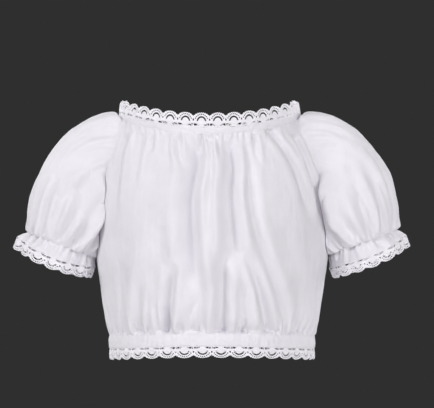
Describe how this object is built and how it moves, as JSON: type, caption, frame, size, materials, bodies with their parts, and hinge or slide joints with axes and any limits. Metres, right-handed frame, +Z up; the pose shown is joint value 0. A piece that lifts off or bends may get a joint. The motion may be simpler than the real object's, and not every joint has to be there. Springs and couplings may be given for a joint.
{
  "type": "dirndl blouse",
  "caption": "Short white off-shoulder blouse with puffed raglan sleeves, elastic neckline, gathered cuffs, a band under the bust and scalloped lace edging.",
  "frame": {"origin": "the middle of the neck opening, at the height at which the neckline rests on the shoulders", "axes": "+Z up as worn, the front faces -Y, the wearer's left is +X, and the blouse is longest along X over both sleeves"},
  "size_m": [0.5574, 0.2491, 0.3637],
  "materials": {
    "cloth": "white plain-weave cotton, matt, slightly crumpled",
    "lace": "white cotton lace with scalloped edge, matt"
  },
  "bodies": {
    "root": {"front_panel": "cloth", "back_panel": "cloth", "sleeve_right": "cloth", "sleeve_left": "cloth", "neck_casing": "cloth", "hem_band": "cloth", "cuff_right": "cloth", "cuff_left": "cloth", "neck_lace_front": "lace", "neck_lace_back": "lace", "hem_lace_front": "lace", "hem_lace_back": "lace", "cuff_lace_right_front": "lace", "cuff_lace_right_back": "lace", "cuff_lace_left_front": "lace", "cuff_lace_left_back": "lace"}
  },
  "joints": []
}
